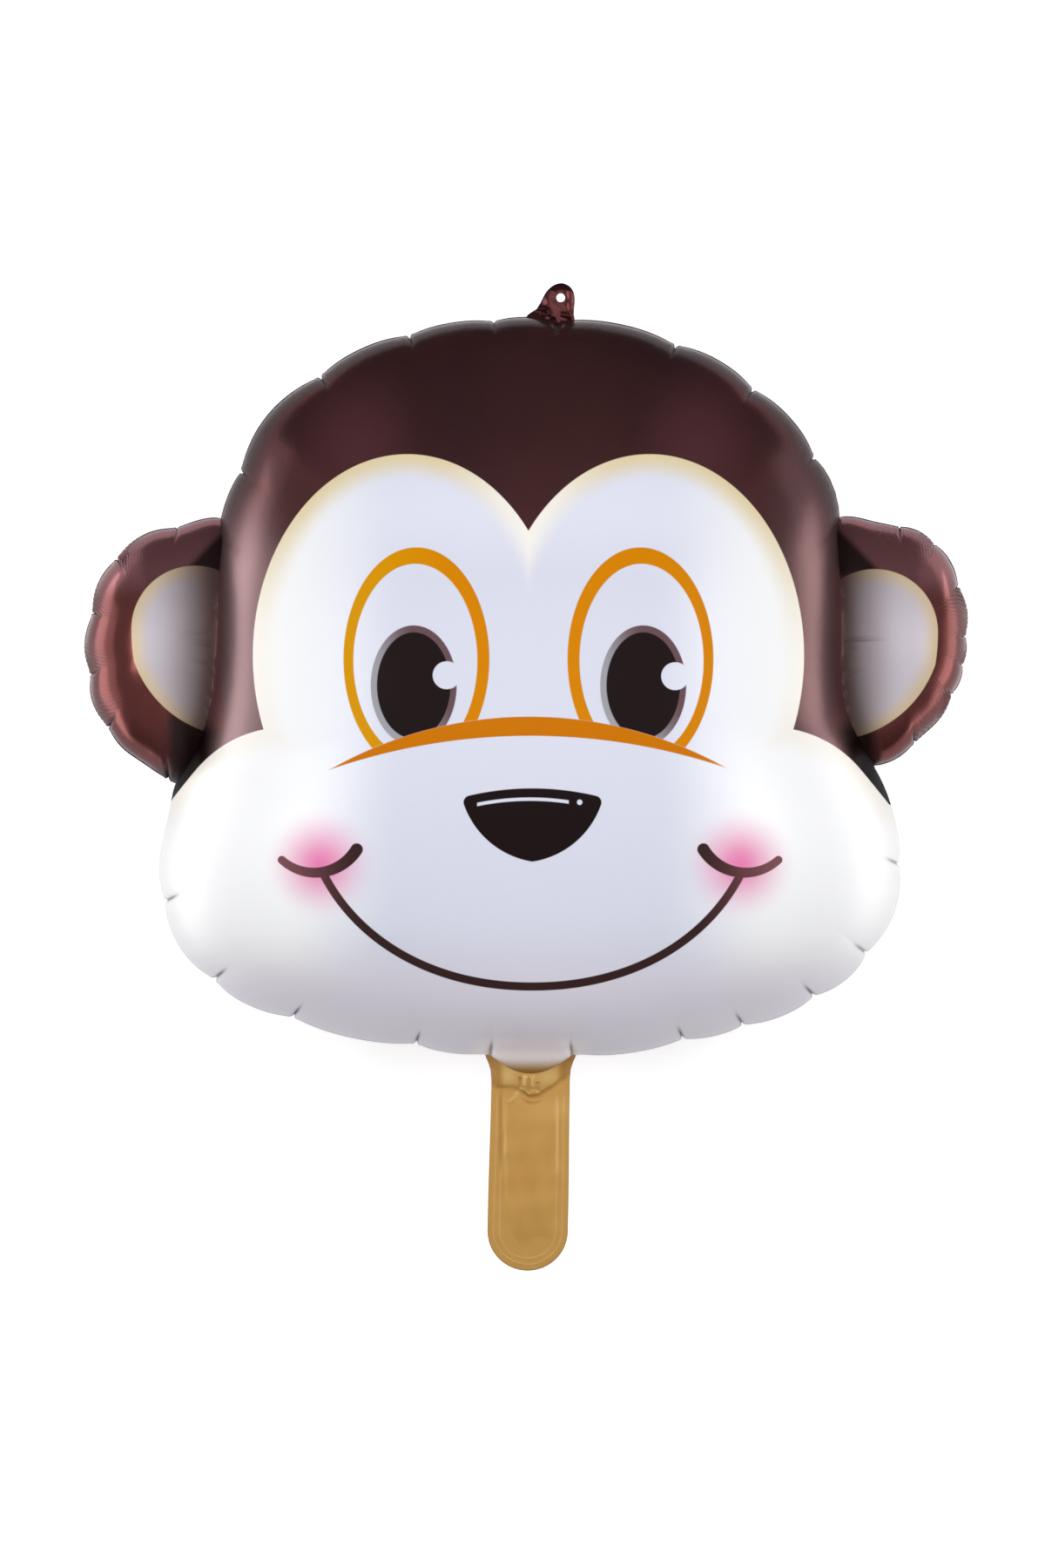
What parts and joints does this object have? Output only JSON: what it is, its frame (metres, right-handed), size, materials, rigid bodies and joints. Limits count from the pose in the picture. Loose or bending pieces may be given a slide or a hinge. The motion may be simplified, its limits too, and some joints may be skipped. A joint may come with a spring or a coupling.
{
  "type": "foil balloon",
  "caption": "Inflated printed foil balloon in the shape of a smiling monkey's head with round ears, a hanging tab and a flat inflation tail, lying face up.",
  "frame": {"origin": "middle of the flattened spot on the back, on which the balloon lies", "axes": "+X across the face, to the right of someone who looks at the face; +Y from the chin to the crown; +Z out of the face"},
  "size_m": [0.6009, 0.6722, 0.2698],
  "materials": {
    "printed_foil": "glossy metallised film with a satin printed face, brown metallic at the crown and the ears and gold on the tail"
  },
  "bodies": {
    "root": {"foil_envelope": "printed_foil"}
  },
  "joints": []
}
